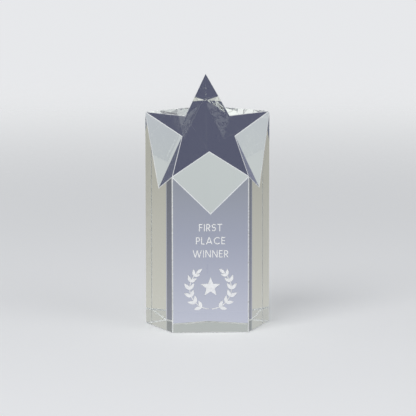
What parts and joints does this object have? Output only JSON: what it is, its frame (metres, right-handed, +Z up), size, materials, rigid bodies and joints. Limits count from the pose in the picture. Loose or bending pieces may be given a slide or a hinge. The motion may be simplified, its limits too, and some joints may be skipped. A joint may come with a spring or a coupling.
{
  "type": "crystal award",
  "caption": "Upright five-sided clear crystal block whose top is cut into a sloping five-pointed star, with a white-filled inscription and laurel wreath on its front side.",
  "frame": {"origin": "centre of the award's bounding box at the level of its flat underside", "axes": "+Z up along the block to the top star point, -Y out of the front side that carries the marks, +X to the right as seen from the front"},
  "size_m": [0.0758, 0.0528, 0.1519],
  "materials": {
    "crystal": "clear optical crystal, flat polished faces with fine polished chamfers",
    "white_fill": "matt white fill in a shallow sand-blasted mark"
  },
  "bodies": {
    "root": {"crystal_tower": "crystal", "inlay_first_1_F": "white_fill", "inlay_first_2_I": "white_fill", "inlay_first_3_R": "white_fill", "inlay_first_4_S": "white_fill", "inlay_first_5_T": "white_fill", "inlay_laurel_left": "white_fill", "inlay_laurel_right": "white_fill", "inlay_place_1_P": "white_fill", "inlay_place_2_L": "white_fill", "inlay_place_3_A": "white_fill", "inlay_place_4_C": "white_fill", "inlay_place_5_E": "white_fill", "inlay_star": "white_fill", "inlay_winner_1_W": "white_fill", "inlay_winner_2_I": "white_fill", "inlay_winner_3_N": "white_fill", "inlay_winner_4_N": "white_fill", "inlay_winner_5_E": "white_fill", "inlay_winner_6_R": "white_fill"}
  },
  "joints": []
}
